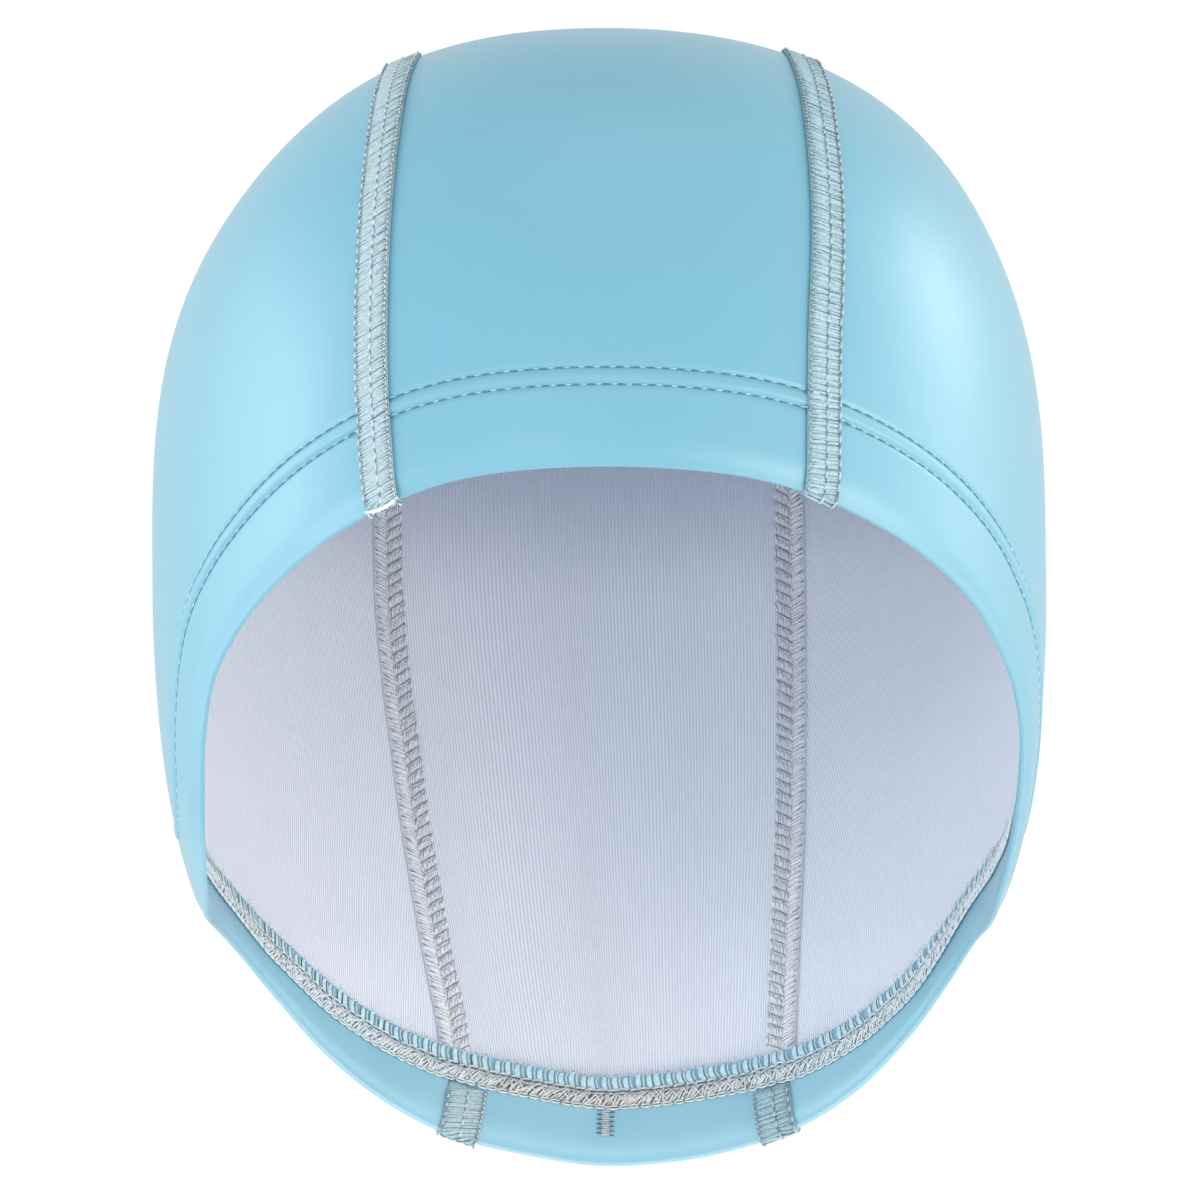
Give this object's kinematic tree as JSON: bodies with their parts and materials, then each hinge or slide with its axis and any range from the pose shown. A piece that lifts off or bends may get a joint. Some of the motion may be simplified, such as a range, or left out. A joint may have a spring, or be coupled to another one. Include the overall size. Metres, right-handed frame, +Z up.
{
  "type": "swim cap",
  "caption": "Stretch swim cap in the shape it has on a head: coated panels, flat seams from brow to nape and a turned-in stitched hem.",
  "frame": {"origin": "the inner face of the crown, at the middle, where the top of the head touches the cap", "axes": "+Z up, +Y from brow to nape, +X to the right of someone who looks at the brow"},
  "size_m": [0.1594, 0.196, 0.1959],
  "materials": {
    "coated_knit": "polyester and elastane knit with a smooth satin polyurethane coat outside and a white knitted face inside",
    "seam_thread": "pale grey textured nylon thread in flat lock stitches",
    "hem_thread": "grey textured nylon thread in cover stitches"
  },
  "bodies": {
    "root": {"middle_panel": "coated_knit", "side_panel_left": "coated_knit", "side_panel_right": "coated_knit", "outer_seam_left": "seam_thread", "outer_seam_right": "seam_thread", "inner_seam_left": "seam_thread", "inner_seam_right": "seam_thread", "hem_cover_stitch": "hem_thread", "nape_tack": "hem_thread"}
  },
  "joints": []
}
